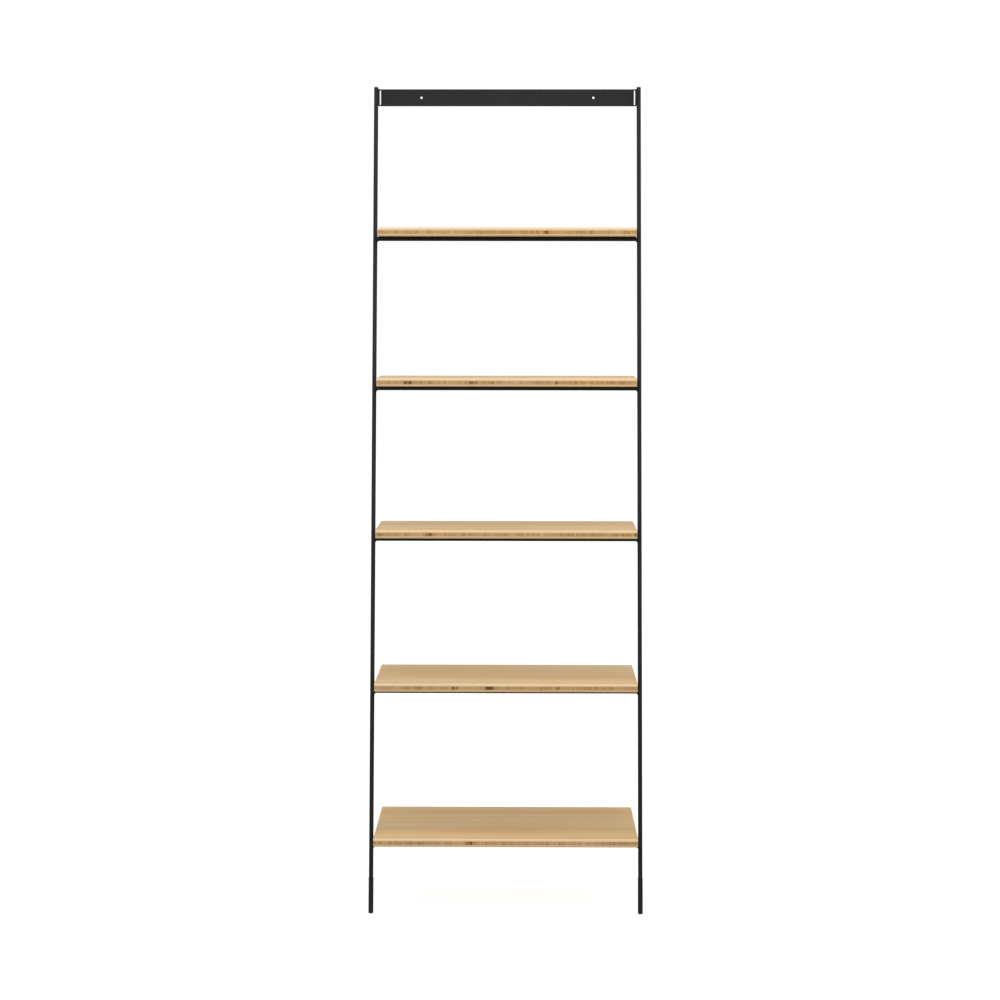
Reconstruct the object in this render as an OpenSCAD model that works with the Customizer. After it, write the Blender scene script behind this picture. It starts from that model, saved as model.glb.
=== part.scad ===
// Leaning ladder shelf: two steel uprights joined by rungs, with bamboo boards
// on the rungs and a folded plate at the top that is screwed to the wall.
// Millimetres. +Z is up, the wall is on the +Y side and the front faces -Y.
// The origin lies on the floor, at the middle of the footprint.

/* [Overall] */
// Length of each upright, measured along the bar from the floor
upright_len = 1900; // [1850:10:2100]
// Angle that the uprights lean back from vertical, in degrees
lean_angle = 9.2; // [8:0.1:11]
// Clear width between the two uprights
clear_w = 600; // [450:10:900]
// Gap between the uprights' upper ends and the wall
top_gap = 0.5; // [0.2:0.1:2]

/* [Uprights and rungs] */
// Diameter of the upright bars
upright_d = 10; // [9:0.5:14]
// Diameter of the rungs
rung_d = 10; // [8:0.5:13]
// Height of the lowest rung's axis above the floor
first_rung_z = 152; // [120:1:200]
// Vertical distance from one rung to the next
rung_pitch = 343; // [280:1:355]
// Leg of the weld bead under each end of a rung
weld_leg = 4.5; // [3:0.5:6]

/* [Foot sleeves] */
// Length of the sleeve on the lower end of each upright
sleeve_len = 80; // [30:1:110]
// Wall thickness of the sleeve
sleeve_wall = 0.6; // [0.5:0.1:2]
// Thickness of the sleeve's floor under the upright
sleeve_floor = 3; // [2:0.5:6]
// Chamfer round the sleeve's lower end
sleeve_chamfer = 1.2; // [0.5:0.1:1.5]

/* [Boards] */
// Thickness of the boards
board_t = 20; // [16:1:27]
// Gap between a board's end and the upright beside it
board_gap = 2; // [0.5:0.5:3]
// Distance from the axis of a rung forward to the front edge of its board
overhang = 46; // [20:1:60]
// Rounding of the long edges of a board
edge_r = 2.5; // [1:0.5:5]
// Rounding of the four upright corners of a board
corner_r = 3; // [1:0.5:8]

/* [Arms under the boards] */
// Width of the flat bar
arm_w = 16; // [14:1:30]
// Thickness of the flat bar
arm_t = 4; // [3:0.5:4.5]
// Distance from the wall to the rear end of an arm
arm_wall_gap = 8; // [4:1:14]
// Radius of the screw shanks
screw_r = 2; // [1.5:0.25:2.5]
// Radius of the countersunk screw heads
screw_head_r = 4; // [3.5:0.25:5]
// Depth of the screws in the board
screw_grip = 12; // [8:1:14]
// Distance from each end of an arm to its nearer screw
screw_inset = 14; // [12:1:18]

/* [Wall plate] */
// Height of the plate
plate_h = 39; // [30:1:60]
// Thickness of the sheet
plate_t = 3; // [2:0.5:4]
// Distance from the top of the uprights down to the plate's top edge
plate_drop = 4; // [0:0.5:20]
// Outside radius of the two folds
fold_r = 5.8; // [5:0.2:8]
// Height of the sheet that is left above and below the slot in each fold
fold_bridge = 3; // [2:0.5:6]
// Radius of the two wall screw holes
hole_r = 2.75; // [2:0.25:4]
// Distance between the two wall screw holes
hole_span = 400; // [300:1:420]

/* [Hidden] */
shelves = 5;

left = -1;
right = 1;
upright_r = upright_d / 2;
rung_r = rung_d / 2;
upright_x = clear_w / 2 + upright_r;
// Height of the uprights' axis at its upper end
top_z = upright_len * cos(lean_angle);
// The plate lies against the wall, and the uprights' upper ends stop just short of it.
rung_1_to_wall = (top_z - first_rung_z) * tan(lean_angle) + upright_r * cos(lean_angle) + top_gap;
depth = overhang + rung_1_to_wall;
wall_y = depth / 2;
// The lowest board's front edge is the front of the whole object.
foot_y = -wall_y + overhang - first_rung_z * tan(lean_angle);
board_w = clear_w - 2 * board_gap;
arm_x = clear_w / 2 - board_gap - arm_w / 2;
steel = [0.13, 0.13, 0.135];
bamboo = [0.85, 0.70, 0.50];
rubber = [0.09, 0.09, 0.09];
zinc = [0.45, 0.45, 0.46];
round_fn = 96;

// Height of the axis of rung k, counted from the floor
function rung_z(k) = first_rung_z + (k - 1) * rung_pitch;
// Depth position of the uprights' axis at a height z
function upright_y(z) = foot_y + z * tan(lean_angle);
// Depth position of the axis of rung k
function rung_y(k) = upright_y(rung_z(k));
// Underside of board k, which rests on its rung
function board_z(k) = rung_z(k) + rung_r;
// Front edge of board k
function board_front(k) = rung_y(k) - overhang;
// Length of the arms of shelf k, from the rung's axis to their rear end
function arm_len(k) = wall_y - arm_wall_gap - rung_y(k);
// Depth positions of the two screws in an arm of shelf k
function screw_ys(k) = [rung_y(k) + screw_inset, rung_y(k) + arm_len(k) - screw_inset];

// A bar of radius r along the axis of one upright, from the floor upwards
module leaning_bar(side, r, from, to) {
    translate([side * upright_x, foot_y, 0])
        rotate([-lean_angle, 0, 0])
            translate([0, 0, from])
                cylinder(r = r, h = to - from, $fn = round_fn);
}

// The space above height z, as large as the object
module above(z) {
    translate([-clear_w, -depth, z])
        cube([2 * clear_w, 2 * depth, 2 * upright_len]);
}

module upright(side) {
    color(steel)
        intersection() {
            leaning_bar(side, upright_r, -upright_d, upright_len);
            above(sleeve_floor);
        }
}

module foot_sleeve(side) {
    outer_r = upright_r + sleeve_wall;
    color(rubber)
        difference() {
            hull() {
                intersection() {
                    leaning_bar(side, outer_r, -upright_d, sleeve_len);
                    above(sleeve_chamfer);
                }
                intersection() {
                    leaning_bar(side, outer_r - sleeve_chamfer, -upright_d, sleeve_len);
                    above(0);
                }
            }
            intersection() {
                leaning_bar(side, upright_r, -upright_d, sleeve_len + 1);
                above(sleeve_floor);
            }
        }
}

// A round bar along X at the height of rung k
module rung_bar(k, half_len) {
    translate([-half_len, rung_y(k), rung_z(k)])
        rotate([0, 90, 0])
            cylinder(r = rung_r, h = 2 * half_len, $fn = round_fn);
}

// Each rung is shaped at its ends to fit round the uprights.
module rung(k) {
    color(steel)
        difference() {
            rung_bar(k, upright_x - upright_r / 2);
            leaning_bar(left, upright_r, 0, upright_len);
            leaning_bar(right, upright_r, 0, upright_len);
        }
}

// A rectangle with rounded corners, from the origin to [w, h]
module rounded_rect(w, h, r) {
    translate([r, 0])
        square([w - 2 * r, h]);
    translate([0, r])
        square([w, h - 2 * r]);
    for (x = [r, w - r], y = [r, h - r])
        translate([x, y])
            circle(r = r, $fn = round_fn);
}

module board(k) {
    board_d = wall_y - board_front(k);
    color(bamboo)
        difference() {
            intersection() {
                // Side profile, with its long edges rounded
                translate([-board_w / 2, board_front(k), board_z(k)])
                    rotate([90, 0, 90])
                        linear_extrude(board_w)
                            rounded_rect(board_d, board_t, edge_r);
                // Outline from above, with rounded corners
                translate([-board_w / 2, board_front(k), board_z(k) - 1])
                    linear_extrude(board_t + 2)
                        rounded_rect(board_w, board_d, corner_r);
            }
            // Blind holes for the screws from below
            for (side = [left, right], y = screw_ys(k))
                translate([side * arm_x, y, board_z(k) - 1])
                    cylinder(r = screw_r, h = screw_grip + 1, $fn = round_fn);
        }
}

// Flat bar under one end of board k, from the rung back towards the wall
module arm(side, k) {
    color(steel)
        difference() {
            translate([side * arm_x - arm_w / 2, rung_y(k), board_z(k) - arm_t])
                cube([arm_w, arm_len(k), arm_t]);
            rung_bar(k, upright_x);
            for (y = screw_ys(k)) {
                translate([side * arm_x, y, board_z(k) - arm_t - 1])
                    cylinder(r = screw_r, h = arm_t + 2, $fn = round_fn);
                screw_head(side * arm_x, y, board_z(k) - arm_t);
            }
        }
}

// Countersunk head whose flat face is at height z, facing down
module screw_head(x, y, z) {
    translate([x, y, z])
        cylinder(r1 = screw_head_r, r2 = screw_r, h = screw_head_r - screw_r, $fn = round_fn);
}

module screw(x, y, z) {
    socket_r = screw_head_r * 0.45;
    socket_depth = screw_head_r * 0.4;
    difference() {
        union() {
            screw_head(x, y, z);
            translate([x, y, z])
                cylinder(r = screw_r, h = arm_t + screw_grip, $fn = round_fn);
        }
        // Hexagonal drive
        translate([x, y, z - 1])
            cylinder(r = socket_r, h = socket_depth + 1, $fn = 6);
    }
}

module board_screws() {
    color(zinc)
        for (k = [1:shelves], side = [left, right], y = screw_ys(k))
            screw(side * arm_x, y, board_z(k) - arm_t);
}

// Concave bead in the corner between the underside of a rung and an upright
module weld_bead(side, k) {
    bead_w = upright_r;
    translate([side * clear_w / 2, rung_y(k) + bead_w / 2, rung_z(k) - rung_r])
        rotate([90, 0, 0])
            linear_extrude(bead_w)
                difference() {
                    polygon([
                        [side * upright_r / 2, rung_r / 2],
                        [-side * weld_leg, rung_r / 2],
                        [-side * weld_leg, 0],
                        [0, -weld_leg],
                        [side * upright_r / 2, -weld_leg]
                    ]);
                    translate([-side * weld_leg, -weld_leg])
                        circle(r = weld_leg * 0.86, $fn = round_fn);
                }
}

module weld_beads() {
    color(steel)
        difference() {
            for (k = [1:shelves], side = [left, right])
                weld_bead(side, k);
            for (k = [1:shelves])
                rung_bar(k, upright_x);
            for (side = [left, right])
                leaning_bar(side, upright_r, 0, upright_len);
        }
}

// Outline of the folded sheet, seen from above, with the wall face on y = 0
module plate_outline() {
    ear_len = wall_y - foot_y;
    half_w = clear_w / 2;
    translate([-half_w + fold_r, -plate_t])
        square([2 * (half_w - fold_r), plate_t]);
    for (side = [left, right]) {
        translate([side * (half_w - plate_t / 2) - plate_t / 2, -ear_len])
            square([plate_t, ear_len - fold_r]);
        // Fold
        translate([side * (half_w - fold_r), -fold_r])
            intersection() {
                difference() {
                    circle(r = fold_r, $fn = round_fn);
                    circle(r = fold_r - plate_t, $fn = round_fn);
                }
                translate([side * fold_r / 2 - fold_r / 2, 0])
                    square([fold_r, fold_r]);
            }
    }
}

// Folded sheet against the wall, with a short ear at each end that is welded to
// the inner side of an upright
module wall_plate() {
    plate_z = top_z - plate_drop - plate_h;
    slot_w = fold_r - plate_t;
    ear_past_axis = upright_r;
    color(steel)
        difference() {
            translate([0, wall_y, plate_z])
                linear_extrude(plate_h)
                    plate_outline();
            // The ears end level with the front of the uprights and follow their lean.
            translate([-clear_w, foot_y - ear_past_axis, 0])
                rotate([-lean_angle, 0, 0])
                    translate([0, -depth, 0])
                        cube([2 * clear_w, depth, 2 * upright_len]);
            // A slot along each fold lets the ears be bent by hand.
            for (side = [left, right])
                translate([side * (clear_w / 2 - fold_r + slot_w / 2) - slot_w / 2,
                           wall_y - fold_r - 1, plate_z + fold_bridge])
                    cube([slot_w, fold_r + 2, plate_h - 2 * fold_bridge]);
            for (side = [left, right])
                translate([side * hole_span / 2, wall_y + 1, plate_z + plate_h / 2])
                    rotate([90, 0, 0])
                        cylinder(r = hole_r, h = plate_t + 2, $fn = round_fn);
        }
}

upright(left);  // left_upright
upright(right);  // right_upright
foot_sleeve(left);  // left_foot
foot_sleeve(right);  // right_foot
wall_plate();
rung(1);  // rung_1
rung(2);  // rung_2
rung(3);  // rung_3
rung(4);  // rung_4
rung(5);  // rung_5
board(1);  // board_1
board(2);  // board_2
board(3);  // board_3
board(4);  // board_4
board(5);  // board_5
arm(left, 1);  // left_arm_1
arm(left, 2);  // left_arm_2
arm(left, 3);  // left_arm_3
arm(left, 4);  // left_arm_4
arm(left, 5);  // left_arm_5
arm(right, 1);  // right_arm_1
arm(right, 2);  // right_arm_2
arm(right, 3);  // right_arm_3
arm(right, 4);  // right_arm_4
arm(right, 5);  // right_arm_5
weld_beads();
board_screws();
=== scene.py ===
"""Ladder shelf: steel uprights and rungs, bamboo boards and a folded wall plate.

Everything is in metres in the CAD frame: +Z up, the wall on +Y, the front facing -Y.
"""

import math
import random

import bpy
from mathutils import Matrix, Vector


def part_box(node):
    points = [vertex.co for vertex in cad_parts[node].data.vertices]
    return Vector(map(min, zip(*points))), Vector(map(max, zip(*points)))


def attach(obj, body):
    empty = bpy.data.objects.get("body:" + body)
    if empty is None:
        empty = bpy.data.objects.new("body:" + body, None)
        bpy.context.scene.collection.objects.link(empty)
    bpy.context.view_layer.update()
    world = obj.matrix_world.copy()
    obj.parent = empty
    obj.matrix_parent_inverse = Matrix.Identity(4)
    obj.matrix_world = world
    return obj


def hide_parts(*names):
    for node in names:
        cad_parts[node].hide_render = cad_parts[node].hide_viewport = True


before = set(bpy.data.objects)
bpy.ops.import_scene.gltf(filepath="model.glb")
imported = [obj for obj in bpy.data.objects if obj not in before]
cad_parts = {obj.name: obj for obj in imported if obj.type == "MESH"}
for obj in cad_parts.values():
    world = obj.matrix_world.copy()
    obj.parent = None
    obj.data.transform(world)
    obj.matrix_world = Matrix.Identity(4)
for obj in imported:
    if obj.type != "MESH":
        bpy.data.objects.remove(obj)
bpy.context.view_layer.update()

MM = 0.001
SHELVES = range(1, 6)
BODY = "root"
rng = random.Random(11)


# ---------------------------------------------------------------- node graphs

class Graph:
    """A material's node tree, with short calls for the nodes used here."""

    def __init__(self, name):
        self.material = bpy.data.materials.new(name)
        self.material.use_nodes = True
        self.tree = self.material.node_tree
        self.tree.nodes.clear()

    def add(self, kind, **settings):
        node = self.tree.nodes.new(kind)
        for key, value in settings.items():
            setattr(node, key, value)
        return node

    def put(self, socket, value):
        """Links value if it is a socket, and otherwise sets it on the socket."""
        if isinstance(value, bpy.types.NodeSocket):
            self.tree.links.new(value, socket)
        else:
            socket.default_value = value

    def math(self, operation, a, b=0.0, c=0.0):
        node = self.add("ShaderNodeMath", operation=operation)
        for socket, value in zip(node.inputs, (a, b, c)):
            self.put(socket, value)
        return node.outputs[0]

    def object_axes(self):
        """The object coordinates, in metres: the vector, and X, Y and Z apart."""
        vector = self.add("ShaderNodeTexCoord").outputs["Object"]
        parts = self.add("ShaderNodeSeparateXYZ")
        self.put(parts.inputs[0], vector)
        return vector, parts.outputs[0], parts.outputs[1], parts.outputs[2]

    def vector(self, x, y, z):
        node = self.add("ShaderNodeCombineXYZ")
        for socket, value in zip(node.inputs, (x, y, z)):
            self.put(socket, value)
        return node.outputs[0]

    def stretched(self, vector, scale):
        node = self.add("ShaderNodeVectorMath", operation="MULTIPLY")
        self.put(node.inputs[0], vector)
        node.inputs[1].default_value = scale
        return node.outputs[0]

    def noise(self, vector, scale=1.0, detail=2.0, roughness=0.5):
        node = self.add("ShaderNodeTexNoise")
        self.put(node.inputs["Vector"], vector)
        node.inputs["Scale"].default_value = scale
        node.inputs["Detail"].default_value = detail
        node.inputs["Roughness"].default_value = roughness
        return node.outputs["Fac"]

    def white(self, value):
        node = self.add("ShaderNodeTexWhiteNoise", noise_dimensions="1D")
        self.put(node.inputs["W"], value)
        return node.outputs["Value"]

    def remap(self, value, low, high, new_low, new_high):
        node = self.add("ShaderNodeMapRange", interpolation_type="SMOOTHSTEP")
        for socket, number in zip(node.inputs, (value, low, high, new_low, new_high)):
            self.put(socket, number)
        return node.outputs[0]

    def ramp(self, value, stops):
        node = self.add("ShaderNodeValToRGB")
        elements = node.color_ramp.elements
        while len(elements) < len(stops):
            elements.new(0.5)
        for element, (position, colour) in zip(elements, stops):
            element.position = position
            element.color = (*colour, 1.0)
        self.put(node.inputs[0], value)
        return node.outputs[0]

    def shade(self, colour, factor):
        """The colour times a grey factor."""
        node = self.add("ShaderNodeVectorMath", operation="SCALE")
        self.put(node.inputs[0], colour)
        self.put(node.inputs["Scale"], factor)
        return node.outputs[0]

    def blend(self, factor, a, b):
        node = self.add("ShaderNodeMix", data_type="RGBA")
        self.put(node.inputs[0], factor)
        self.put(node.inputs[6], a)
        self.put(node.inputs[7], b)
        return node.outputs[2]

    def bump(self, height, distance, strength):
        node = self.add("ShaderNodeBump")
        node.inputs["Distance"].default_value = distance
        node.inputs["Strength"].default_value = strength
        self.put(node.inputs["Height"], height)
        return node.outputs[0]

    def surface(self, colour, roughness, normal, **constants):
        """Ends the graph in a Principled shader whose constants stand on its own sockets."""
        shader = self.add("ShaderNodeBsdfPrincipled")
        self.put(shader.inputs["Base Color"], colour)
        self.put(shader.inputs["Roughness"], roughness)
        self.put(shader.inputs["Normal"], normal)
        for key, value in constants.items():
            shader.inputs[key.replace("_", " ")].default_value = value
        output = self.add("ShaderNodeOutputMaterial")
        self.put(output.inputs["Surface"], shader.outputs[0])
        return self.material


# ------------------------------------------------------------------ materials

def powder_coat():
    """Matt black powder coat: fine orange peel, faint cloudiness and a few dull rubs."""
    g = Graph("powder_coat_black")
    vector, _, _, _ = g.object_axes()
    cloud = g.noise(vector, scale=9.0, detail=3.0)
    speck = g.noise(vector, scale=900.0, detail=2.0)
    rub = g.noise(g.stretched(vector, (22.0, 22.0, 6.0)), detail=3.0, roughness=0.55)
    colour = g.ramp(
        g.math("ADD", g.math("MULTIPLY", cloud, 0.7), g.math("MULTIPLY", speck, 0.3)),
        [(0.25, (0.0070, 0.0070, 0.0074)), (0.75, (0.0125, 0.0125, 0.0128))],
    )
    rubbed = g.remap(rub, 0.62, 0.78, 0.0, 1.0)
    colour = g.blend(g.math("MULTIPLY", rubbed, 0.2), colour, (0.020, 0.020, 0.021, 1.0))
    rough = g.math("SUBTRACT", g.remap(cloud, 0.3, 0.7, 0.52, 0.62), g.math("MULTIPLY", rubbed, 0.08))
    peel = g.noise(vector, scale=1300.0, detail=1.0)
    normal = g.bump(peel, 0.00002, 0.35)
    return g.surface(colour, rough, normal, Specular_IOR_Level=0.22)


def foot_rubber():
    """Moulded black rubber: mould grain and a little floor dust near the bottom."""
    g = Graph("foot_rubber_black")
    vector, _, _, height = g.object_axes()
    grain = g.noise(vector, scale=1500.0, detail=3.0)
    dust_patch = g.noise(vector, scale=120.0, detail=4.0, roughness=0.7)
    dust = g.math("MULTIPLY", g.remap(height, 0.0, 12 * MM, 0.5, 0.0), dust_patch)
    colour = g.blend(dust, (0.0075, 0.0075, 0.008, 1.0), (0.05, 0.045, 0.04, 1.0))
    rough = g.remap(grain, 0.3, 0.7, 0.68, 0.84)
    return g.surface(colour, rough, g.bump(grain, 0.00005, 0.5), Specular_IOR_Level=0.25)


def screw_zinc():
    """Dark zinc plating with uneven passivation and a fine roughness."""
    g = Graph("screw_zinc_dark")
    vector, _, _, _ = g.object_axes()
    patch = g.noise(vector, scale=420.0, detail=3.0)
    fine = g.noise(vector, scale=2600.0, detail=2.0)
    colour = g.ramp(patch, [(0.3, (0.16, 0.16, 0.165)), (0.7, (0.33, 0.32, 0.30))])
    rough = g.remap(fine, 0.3, 0.7, 0.28, 0.48)
    return g.surface(colour, rough, g.bump(fine, 0.00002, 0.4), Metallic=1.0)


STRIP = 6.0 * MM
NODE_PERIOD = 0.24

LONG_TONES = [
    (0.0, (0.420, 0.266, 0.111)),
    (0.35, (0.525, 0.355, 0.163)),
    (0.7, (0.605, 0.432, 0.214)),
    (1.0, (0.680, 0.510, 0.276)),
]
END_TONES = [
    (0.0, (0.095, 0.042, 0.014)),
    (0.2, (0.250, 0.128, 0.048)),
    (0.45, (0.415, 0.242, 0.103)),
    (0.7, (0.530, 0.345, 0.166)),
    (1.0, (0.660, 0.472, 0.262)),
]
# Pale colour of the edges: sanded wood, and a painted highlight of the overhead light on the upper
# ply and the top arris
PALE_EDGE_AND_HIGHLIGHT = (0.92, 0.73, 0.48, 1.0)
WARM_AND_COOL = [
    (0.32, (1.05, 0.97, 0.88)),
    (0.50, (1.00, 1.00, 1.02)),
    (0.68, (0.98, 1.00, 1.14)),
]


def knuckle_phase(g, along, strip):
    """Distance to the nearest knuckle of a strip, as a share of the knuckle spacing."""
    place = g.math("ADD", g.white(g.math("ADD", strip, 31.7)),
                   g.math("DIVIDE", along, NODE_PERIOD))
    return g.math("ABSOLUTE", g.math("SUBTRACT", g.math("FRACT", place), 0.5))


def tinted(g, colour, place, scale):
    """The colour with stretches that are a little warmer or cooler."""
    node = g.add("ShaderNodeVectorMath", operation="MULTIPLY")
    g.put(node.inputs[0], colour)
    g.put(node.inputs[1], g.ramp(g.noise(place, scale=scale, detail=1.0), WARM_AND_COOL))
    return node.outputs[0]


def along_grain(g, vector, along_x, along, across):
    """The coordinates scaled by one number along X (or else Y) and by another across it."""
    return g.stretched(vector, (along, across, across) if along_x else (across, along, across))


def pale_edges_and_highlight(g, colour):
    """The eased edges look paler: partly sanded wood, partly a painted highlight of the overhead
    light.
    """
    arris = g.add("ShaderNodeAttribute", attribute_name="arris").outputs["Fac"]
    return g.blend(g.math("MULTIPLY", arris, 0.72), colour, PALE_EDGE_AND_HIGHLIGHT), arris


def bamboo_long(name, along_x, tone_shift=0.0):
    """Long grain of pressed bamboo strips, each with its own tone, fibres and knuckles."""
    g = Graph(name)
    vector, x, y, z = g.object_axes()
    along, across = (x, g.math("ADD", y, z)) if along_x else (y, z)
    lane = g.math("DIVIDE", across, STRIP)
    strip = g.math("FLOOR", lane)
    tone = g.white(strip)
    # Slow drift of tone along each strip, and bands of several widths over the whole panel
    drift = g.noise(g.vector(g.math("MULTIPLY", along, 3.0), g.math("MULTIPLY", strip, 7.3), 0.0))
    bands = along_grain(g, vector, along_x, 1.6, 17.0)
    band = g.noise(bands, detail=3.0)
    layer = g.noise(along_grain(g, vector, along_x, 0.5, 60.0), detail=2.0)
    fibre = g.noise(along_grain(g, vector, along_x, 9.0, 1900.0), detail=3.0, roughness=0.6)
    streak = g.noise(along_grain(g, vector, along_x, 4.0, 260.0), detail=3.0, roughness=0.6)
    pore = g.noise(along_grain(g, vector, along_x, 45.0, 4200.0), detail=1.0)
    mix = g.math("MULTIPLY_ADD", tone, 0.20, tone_shift)
    mix = g.math("MULTIPLY_ADD", drift, 0.30, mix)
    mix = g.math("MULTIPLY_ADD", band, 0.80, mix)
    mix = g.math("MULTIPLY_ADD", layer, 0.56, mix)
    mix = g.math("MULTIPLY_ADD", streak, 0.44, mix)
    mix = g.math("MULTIPLY_ADD", fibre, 0.22, mix)
    colour = g.ramp(g.math("SUBTRACT", mix, 0.74), LONG_TONES)
    colour = tinted(g, colour, bands, 0.8)
    # Knuckles: a narrow darker band across a strip, with a faint pale halo
    phase = knuckle_phase(g, along, strip)
    knuckle = g.remap(phase, 0.004, 0.013, 1.0, 0.0)
    halo = g.remap(phase, 0.010, 0.035, 1.0, 0.0)
    lane_phase = g.math("ABSOLUTE", g.math("SUBTRACT", g.math("FRACT", lane), 0.5))
    seam = g.remap(lane_phase, 0.470, 0.497, 0.0, 1.0)
    factor = g.math("SUBTRACT", 1.0, g.math("MULTIPLY", knuckle, 0.13))
    factor = g.math("MULTIPLY_ADD", halo, 0.025, factor)
    factor = g.math("MULTIPLY_ADD", seam, -0.08, factor)
    factor = g.math("MULTIPLY_ADD", g.remap(pore, 0.60, 0.75, 0.0, 1.0), -0.08, factor)
    # Paler edges: sanding, and a painted highlight on the upper ply and the top arris
    colour, arris = pale_edges_and_highlight(g, g.shade(colour, factor))
    rough = g.math("MULTIPLY_ADD", fibre, 0.16, 0.52)
    rough = g.math("MULTIPLY_ADD", arris, -0.04, rough)
    height = g.math("MULTIPLY_ADD", seam, -0.6, g.math("MULTIPLY", fibre, 0.5))
    height = g.math("MULTIPLY_ADD", knuckle, 0.5, height)
    return g.surface(colour, rough, g.bump(height, 0.00004, 0.6), Specular_IOR_Level=0.07)


def bamboo_end(name, across_x, pale=0.0):
    """End grain: a tone per strip, brown clusters, a dense skin side and tiny fibre bundles."""
    g = Graph(name)
    vector, x, y, _ = g.object_axes()
    across = x if across_x else y
    lane = g.math("DIVIDE", across, STRIP)
    strip = g.math("FLOOR", lane)
    inside = g.math("FRACT", lane)
    tone = g.white(g.math("ADD", strip, 3.3))
    line = g.vector(across, 0.0, 0.0)
    stretch = g.noise(line, scale=9.0, detail=2.0)
    streak = g.noise(along_grain(g, vector, across_x, 360.0, 50.0), detail=3.0, roughness=0.65)
    # Each strip has a dense, slightly darker skin on one side or the other
    flip = g.math("GREATER_THAN", g.white(g.math("ADD", strip, 57.1)), 0.5)
    side = g.math("ABSOLUTE", g.math("SUBTRACT", inside, flip))
    skin = g.remap(side, 0.0, 0.6, 1.0, 0.0)
    bundle = g.add("ShaderNodeTexVoronoi", feature="F1")
    g.put(bundle.inputs["Vector"], vector)
    bundle.inputs["Scale"].default_value = 1500.0
    dots = g.remap(bundle.outputs["Distance"], 0.10, 0.34, 1.0, 0.0)
    # Runs of strips that were pressed near a knuckle are much browner
    run = g.remap(g.noise(line, scale=27.0, detail=2.0), 0.54, 0.66, 0.0, 1.0)
    picked = g.remap(g.white(g.math("ADD", strip, 91.9)), 0.15, 0.85, 0.15, 1.0)
    brown = g.math("MULTIPLY", run, picked)
    mix = g.math("MULTIPLY_ADD", tone, 0.22, pale)
    mix = g.math("MULTIPLY_ADD", stretch, 0.50, mix)
    mix = g.math("MULTIPLY_ADD", streak, 0.36, mix)
    mix = g.math("MULTIPLY_ADD", skin, -0.08, mix)
    mix = g.math("MULTIPLY_ADD", brown, -0.42, mix)
    mix = g.math("MULTIPLY_ADD", g.math("MULTIPLY", brown, skin), -0.30, mix)
    colour = tinted(g, g.ramp(mix, END_TONES), line, 6.0)
    factor = g.math("MULTIPLY_ADD", g.math("MULTIPLY", dots, skin), -0.22, 1.0)
    edge = g.math("ABSOLUTE", g.math("SUBTRACT", inside, 0.5))
    seam = g.remap(edge, 0.465, 0.495, 0.0, 1.0)
    factor = g.math("MULTIPLY_ADD", seam, -0.12, factor)
    # Paler edges: sanding, and a painted highlight on the upper ply and the top arris
    colour, _ = pale_edges_and_highlight(g, g.shade(colour, factor))
    rough = g.math("MULTIPLY_ADD", streak, 0.18, 0.50)
    height = g.math("MULTIPLY_ADD", dots, -0.5, g.math("MULTIPLY", streak, 0.4))
    return g.surface(colour, rough, g.bump(height, 0.00005, 0.6), Specular_IOR_Level=0.12)


# --------------------------------------------------------------------- meshes

def make_object(name, verts, faces):
    mesh = bpy.data.meshes.new(name)
    mesh.from_pydata(verts, [], faces)
    mesh.validate()
    piece = bpy.data.objects.new(name, mesh)
    bpy.context.scene.collection.objects.link(piece)
    return piece


def smooth_by_angle(piece, degrees=32.0):
    piece.data.shade_smooth()
    piece.data.set_sharp_from_angle(angle=math.radians(degrees))


def rounded_outline(w, d, radius, inset, steps):
    """A rectangle [0, w] x [0, d] with round corners, drawn inset, counter-clockwise."""
    points = []
    r = radius - inset
    corners = ((w - radius, d - radius, 0), (radius, d - radius, 90),
               (radius, radius, 180), (w - radius, radius, 270))
    for cx, cy, start in corners:
        for i in range(steps + 1):
            angle = math.radians(start + 90 * i / steps)
            points.append((cx + r * math.cos(angle), cy + r * math.sin(angle)))
    return points


BOARD_CORNER = 3.0 * MM
BOARD_EDGE = 2.5 * MM
EDGE_STEPS = 6
CORNER_STEPS = 6
LOWER_PLY = 5.3 * MM
UPPER_PLY = 7.0 * MM
# The upper ply's edge is paler than the lower one's: a painted highlight of the overhead light, over
# some sanding
LOWER_PALE = 0.15
UPPER_PALE = 0.4
GLUE_GROOVE = 0.12 * MM
FACE_GRAIN, CORE_END, CORE_SIDE, OUTER_END = range(4)
FLAT_FACE = 0.8
# Least and greatest distance of a board's origin from its corner, along X and along Y
BOARD_SHIFTS = (0.3, 2.0)


def board_rings(thickness):
    """(inset, height, paleness) of each ring from the underside to the top; the paleness is sanding
    plus a painted highlight, strongest on the upper ply and the top arris.
    """
    rings = []
    for i in range(EDGE_STEPS + 1):
        angle = math.radians(90 * i / EDGE_STEPS)
        inset = BOARD_EDGE * (1 - math.sin(angle))
        height = BOARD_EDGE * (1 - math.cos(angle))
        rings.append((inset, height, LOWER_PALE * math.sin(angle)))
    glue_lines = ((LOWER_PLY, LOWER_PALE, 0.0), (thickness - UPPER_PLY, 0.0, UPPER_PALE))
    for line, below, above in glue_lines:
        rings.append((0.0, line - GLUE_GROOVE, below))
        rings.append((GLUE_GROOVE, line, 0.0))
        rings.append((0.0, line + GLUE_GROOVE, above))
    for i in range(EDGE_STEPS + 1):
        angle = math.radians(90 * i / EDGE_STEPS)
        inset = BOARD_EDGE * (1 - math.cos(angle))
        height = thickness - BOARD_EDGE * (1 - math.sin(angle))
        # The top rounding is palest: a painted highlight of the overhead light
        rings.append((inset, height, math.cos(angle) ** 3))
    return rings


def board_look(face, thickness):
    """Which of a board's materials a face shows."""
    upright = abs(face.normal.z) < FLAT_FACE
    on_end = abs(face.normal.x) > abs(face.normal.y)
    if upright and LOWER_PLY < face.center.z < thickness - UPPER_PLY:
        return CORE_SIDE if on_end else CORE_END
    if upright and on_end:
        return OUTER_END
    return FACE_GRAIN


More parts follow.
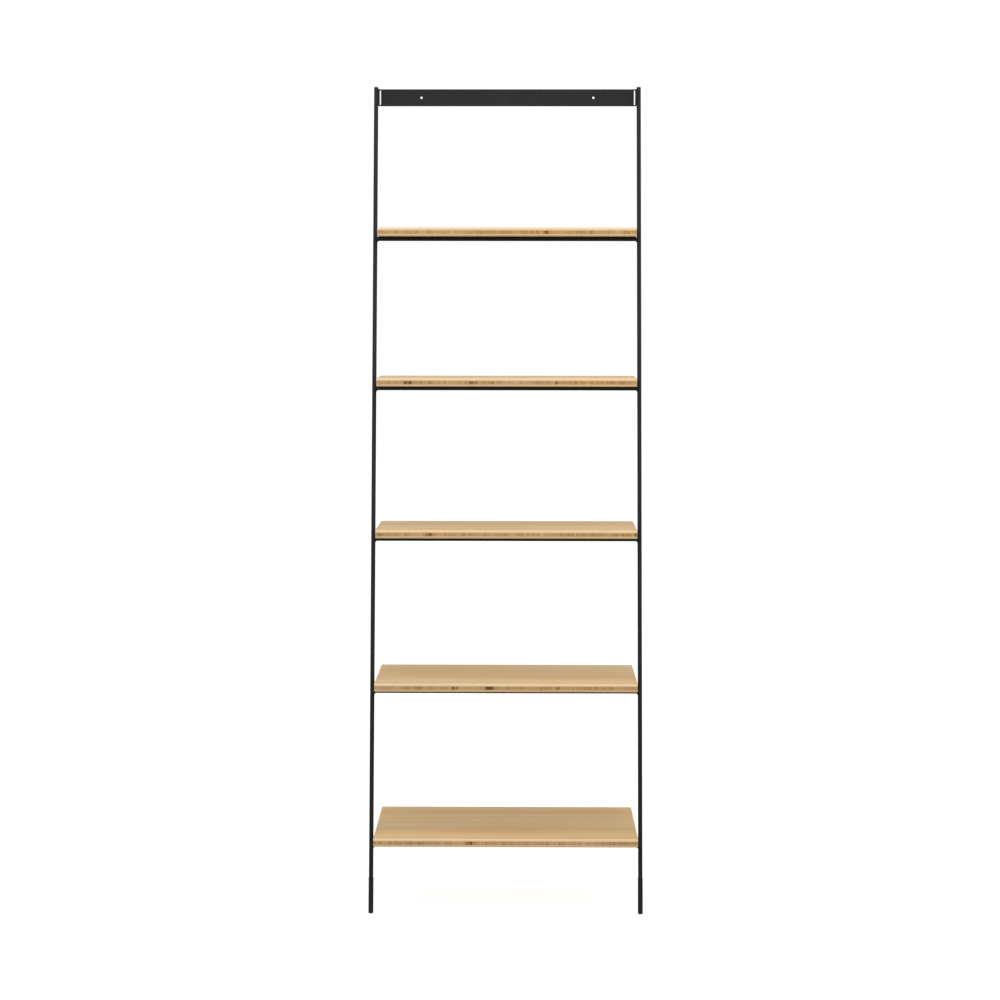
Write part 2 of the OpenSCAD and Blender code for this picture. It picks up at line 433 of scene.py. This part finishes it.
def make_board(k, looks):
    """Board k as one closed slab, with its three plies on separate material slots."""
    low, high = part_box(f"board_{k}")
    w, d, t = high - low
    # The object's origin stands off the board's corner, so that no two boards share their grain
    shift = Vector((rng.uniform(*BOARD_SHIFTS), rng.uniform(*BOARD_SHIFTS), 0.0))
    rings = board_rings(t)
    verts, arris = [], []
    for inset, height, soft in rings:
        for px, py in rounded_outline(w, d, BOARD_CORNER, inset, CORNER_STEPS):
            verts.append((px + shift.x, py + shift.y, height))
            arris.append(soft)
    n = len(verts) // len(rings)
    faces = [tuple(reversed(range(n)))]
    for r in range(len(rings) - 1):
        for i in range(n):
            j = (i + 1) % n
            faces.append((r * n + i, r * n + j, (r + 1) * n + j, (r + 1) * n + i))
    faces.append(tuple(range((len(rings) - 1) * n, len(rings) * n)))
    piece = make_object(f"bamboo_board_{k}", verts, faces)
    piece.location = low - shift
    # Per-vertex paleness of the edges: sanding and a painted highlight
    values = piece.data.attributes.new("arris", "FLOAT", "POINT").data
    values.foreach_set("value", arris)
    for look in looks:
        piece.data.materials.append(look)
    for face in piece.data.polygons:
        face.material_index = board_look(face, t)
    smooth_by_angle(piece)
    weighted = piece.modifiers.new("flat_faces", "WEIGHTED_NORMAL")
    weighted.keep_sharp = True
    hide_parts(f"board_{k}")
    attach(piece, BODY)


def tube_along(points, normals, radii, sides):
    """Vertices and faces of a closed tube with round section about a path."""
    verts, faces = [], []
    count = len(points)
    for i, (p, r) in enumerate(zip(points, radii)):
        ahead = points[min(i + 1, count - 1)] - points[max(i - 1, 0)]
        tangent = ahead.normalized()
        side = tangent.cross(normals[i]).normalized()
        up = side.cross(tangent).normalized()
        for s in range(sides):
            a = 2 * math.pi * s / sides
            verts.append(p + r * (math.cos(a) * side + math.sin(a) * up))
    for i in range(count - 1):
        for s in range(sides):
            e = (s + 1) % sides
            faces.append((i * sides + s, i * sides + e, (i + 1) * sides + e, (i + 1) * sides + s))
    faces.append(tuple(reversed(range(sides))))
    faces.append(tuple(range((count - 1) * sides, count * sides)))
    return verts, faces


def add_tube(verts, faces, tube):
    start = len(verts)
    verts.extend(tube[0])
    faces.extend(tuple(start + i for i in face) for face in tube[1])


UPRIGHT_R = 5.0 * MM
BEAD_R = 1.9 * MM
BEAD_STEPS = 64
BEAD_SIDES = 12
BEAD_HALF_TURN = 118
BEAD_LIFT = 0.3 * MM
BEAD_RIPPLE = 0.07
RIPPLE_STEPS = 4
BEAD_END_STEPS = 3
BEAD_TAPER = 0.35
WIDEST_REACH = 0.96


def rung_bead(k, side):
    """A rippled weld bead round the lower part of the joint between rung k and an upright."""
    low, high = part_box(f"rung_{k}")
    rung_r = (high.z - low.z) / 2
    centre = (low + high) / 2
    axis_x = upright_axis_x(side)
    points, normals, radii = [], [], []
    for i in range(BEAD_STEPS + 1):
        turn = math.radians(BEAD_HALF_TURN * (2 * i / BEAD_STEPS - 1))
        dy = (rung_r + BEAD_LIFT) * math.sin(turn)
        dz = -(rung_r + BEAD_LIFT) * math.cos(turn)
        # The bead follows the round of the upright, whose surface lies this far from its axis
        reach = math.sqrt(UPRIGHT_R ** 2 - min(abs(dy), UPRIGHT_R * WIDEST_REACH) ** 2)
        x = axis_x - side * (reach + BEAD_LIFT)
        points.append(Vector((x, centre.y + dy, centre.z + dz)))
        normals.append(Vector((side, 0.0, 0.0)))
        ripple = 1.0 + BEAD_RIPPLE * math.sin(i * 2 * math.pi / RIPPLE_STEPS)
        run = (i + BEAD_END_STEPS) / (BEAD_STEPS + 2 * BEAD_END_STEPS)
        radii.append(BEAD_R * ripple * math.sin(math.pi * run) ** BEAD_TAPER)
    return tube_along(points, normals, radii, BEAD_SIDES)


def upright_axis_x(side):
    low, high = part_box("right_upright" if side > 0 else "left_upright")
    return (low.x + high.x) / 2


def make_rung_beads(look):
    verts, faces = [], []
    for k in SHELVES:
        for side in (-1, 1):
            add_tube(verts, faces, rung_bead(k, side))
    piece = make_object("rung_weld_beads", verts, faces)
    piece.data.materials.append(look)
    smooth_by_angle(piece, 60)
    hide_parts("weld_beads")
    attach(piece, BODY)


# ----------------------------------------------------------- finished CAD nodes

CAD_EDGE = 0.35 * MM
UPRIGHT_EDGE = 0.8 * MM
JOIN_WITHIN = 0.002 * MM
SHARP_DEGREES = 40


def finish_node(name, look, bevel=CAD_EDGE):
    """A CAD node keeps its shape, and gets its material and slightly eased edges."""
    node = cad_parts[name]
    for slot in node.material_slots:
        slot.material = look
    if not node.material_slots:
        node.data.materials.append(look)
    if bevel:
        weld = node.modifiers.new("joined", "WELD")
        weld.merge_threshold = JOIN_WITHIN
        ease = node.modifiers.new("eased_edges", "BEVEL")
        ease.width = bevel
        ease.segments = 2
        ease.limit_method = "ANGLE"
        ease.angle_limit = math.radians(SHARP_DEGREES)
        ease.harden_normals = True


# -------------------------------------------------------------- floor and light

FLOOR_R = 30.0
FLOOR_STEPS = 96
ROOM_LIGHT = 1.58
SKY_LIGHT = 0.80
GROUND_LIGHT = 0.45
# Strength of the room where the camera sees it behind the object
BACKDROP = 1.02
# Heights of the view direction between which the room passes to the sky and to the ground
SKY_BAND = (0.10, 0.60)
GROUND_BAND = (-0.12, -0.01)
OVERHEAD_WATTS = 42.0
FRONT_WATTS = 20.0
FLOOR_GLOW = 0.86


def pale_floor():
    """A pale disc that glows, shows its upper side only and throws no light back up."""
    g = Graph("studio_floor_white")
    vector, _, _, _ = g.object_axes()
    cloud = g.noise(vector, scale=0.7, detail=3.0)
    colour = g.ramp(cloud, [(0.3, (0.21, 0.21, 0.21)), (0.7, (0.23, 0.23, 0.23))])
    g.surface(colour, g.remap(cloud, 0.3, 0.7, 0.75, 0.85),
              g.bump(g.noise(vector, scale=300.0), 0.0001, 0.2), Specular_IOR_Level=0.1,
              Emission_Color=(1.0, 1.0, 1.0, 1.0), Emission_Strength=FLOOR_GLOW)
    output = g.tree.nodes["Material Output"]
    painted = output.inputs["Surface"].links[0].from_socket
    see_through = g.add("ShaderNodeBsdfTransparent")
    sides = g.add("ShaderNodeMixShader")
    g.put(sides.inputs[0], g.add("ShaderNodeNewGeometry").outputs["Backfacing"])
    g.put(sides.inputs[1], painted)
    g.put(sides.inputs[2], see_through.outputs[0])
    g.put(output.inputs["Surface"], sides.outputs[0])
    angles = [2 * math.pi * i / FLOOR_STEPS for i in range(FLOOR_STEPS)]
    verts = [(FLOOR_R * math.cos(a), FLOOR_R * math.sin(a), 0.0) for a in angles]
    floor = make_object("studio_floor", verts, [tuple(range(FLOOR_STEPS))])
    floor.data.materials.append(g.material)
    floor.visible_diffuse = False
    floor.visible_glossy = False
    floor.visible_shadow = False


def studio_light():
    """A white room, dimmer overhead and below, seen as an even backdrop, and two soft boxes."""
    world = bpy.data.worlds.new("soft_white_room")
    bpy.context.scene.world = world
    world.use_nodes = True
    tree = world.node_tree
    background = tree.nodes["Background"]
    direction = tree.nodes.new("ShaderNodeTexCoord")
    parts = tree.nodes.new("ShaderNodeSeparateXYZ")
    tree.links.new(direction.outputs["Generated"], parts.inputs[0])
    height = parts.outputs[2]
    above = height_blend(tree, height, SKY_BAND, ROOM_LIGHT, SKY_LIGHT)
    strength = height_blend(tree, height, GROUND_BAND, GROUND_LIGHT, above)
    seen = tree.nodes.new("ShaderNodeMix")
    tree.links.new(tree.nodes.new("ShaderNodeLightPath").outputs["Is Camera Ray"], seen.inputs[0])
    tree.links.new(strength, seen.inputs[2])
    seen.inputs[3].default_value = BACKDROP
    tree.links.new(seen.outputs[0], background.inputs["Strength"])
    background.inputs["Color"].default_value = (1.0, 1.0, 1.0, 1.0)
    soft_box("overhead_soft_box", (2.2, 0.35), OVERHEAD_WATTS, (0.0, -0.42, 5.2), (0.0, -0.42, 0.0))
    soft_box("front_soft_box", (2.4, 0.8), FRONT_WATTS, (0.0, -2.0, 2.8), (0.0, 0.0, 1.2))


def height_blend(tree, height, band, low_value, high_value):
    """Passes from one value to another over a band of heights."""
    node = tree.nodes.new("ShaderNodeMapRange")
    node.interpolation_type = "SMOOTHSTEP"
    tree.links.new(height, node.inputs[0])
    for socket, value in zip(node.inputs[1:], (*band, low_value, high_value)):
        if isinstance(value, bpy.types.NodeSocket):
            tree.links.new(value, socket)
        else:
            socket.default_value = value
    return node.outputs[0]


def soft_box(name, size, watts, place, target):
    box = bpy.data.lights.new(name, "AREA")
    box.shape = "RECTANGLE"
    box.size, box.size_y = size
    box.energy = watts
    lamp = bpy.data.objects.new(name, box)
    lamp.location = place
    aim = Vector(target) - Vector(place)
    lamp.rotation_euler = aim.to_track_quat("-Z", "Y").to_euler()
    bpy.context.scene.collection.objects.link(lamp)


# --------------------------------------------------------------------- camera

def photo_camera():
    data = bpy.data.cameras.new("camera")
    data.sensor_width = 36.0
    data.lens = 83.487
    data.clip_end = 200.0
    camera = bpy.data.objects.new("camera", data)
    bpy.context.scene.collection.objects.link(camera)
    tilt_down = 0.08589
    turn_left = 0.00928
    roll = 0.00100
    camera.matrix_world = (
        Matrix.Translation((0.03435, -5.29332, 1.38253))
        @ Matrix.Rotation(turn_left, 4, "Z")
        @ Matrix.Rotation(math.pi / 2 - tilt_down, 4, "X")
        @ Matrix.Rotation(roll, 4, "Z")
    )
    bpy.context.scene.camera = camera


# ------------------------------------------------------------------- assembly

photo_camera()
studio_light()
pale_floor()
bpy.context.scene.view_settings.view_transform = "Standard"

coat = powder_coat()
rubber = foot_rubber()
zinc = screw_zinc()
# In the order of FACE_GRAIN, CORE_END, CORE_SIDE and OUTER_END
board_looks = [
    bamboo_long("bamboo_face_grain", True),
    bamboo_end("bamboo_core_end_grain", True),
    bamboo_long("bamboo_core_side_grain", False, 0.02),
    bamboo_end("bamboo_outer_end_grain", False, 0.12),
]

for k in SHELVES:
    make_board(k, board_looks)
    finish_node(f"rung_{k}", coat, bevel=0)
    finish_node(f"left_arm_{k}", coat)
    finish_node(f"right_arm_{k}", coat)
for name in ("left_upright", "right_upright"):
    finish_node(name, coat, UPRIGHT_EDGE)
finish_node("wall_plate", coat)
for name in ("left_foot", "right_foot"):
    finish_node(name, rubber)
finish_node("board_screws", zinc, bevel=0)
make_rung_beads(coat)
